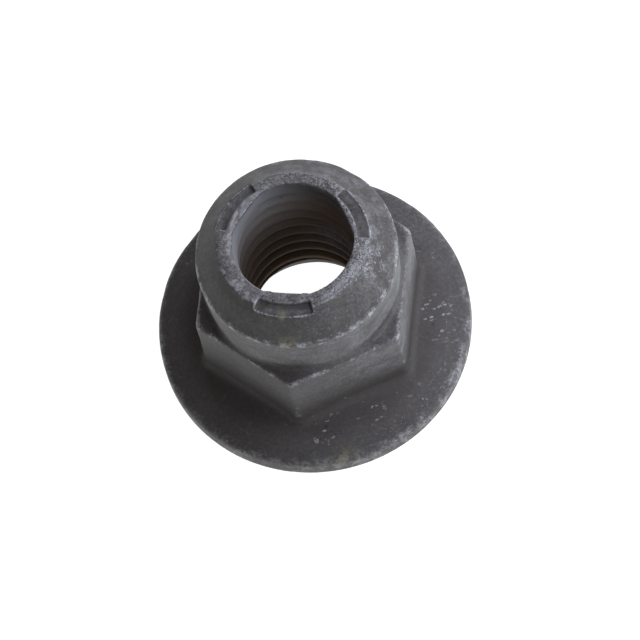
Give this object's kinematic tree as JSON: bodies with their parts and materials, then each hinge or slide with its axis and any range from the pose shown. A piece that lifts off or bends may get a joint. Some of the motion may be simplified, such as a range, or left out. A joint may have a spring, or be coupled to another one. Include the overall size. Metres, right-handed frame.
{
  "type": "hexagon flange lock nut",
  "caption": "All-metal prevailing-torque hexagon flange nut: coned flange, hexagon, raised collar with staked mouth, threaded through.",
  "frame": {"origin": "centre of the bearing face, on the thread's axis", "axes": "+Z along the thread from the flange to the collar; two of the hexagon's flats face -X and +X, so two of its corners lie on the Y axis"},
  "size_m": [0.0278, 0.0278, 0.02],
  "materials": {
    "phosphated_steel": "dark phosphate on forged steel, matt, rubbed bright grey along the edges"
  },
  "bodies": {
    "root": {"flange_lock_nut": "phosphated_steel"}
  },
  "joints": []
}
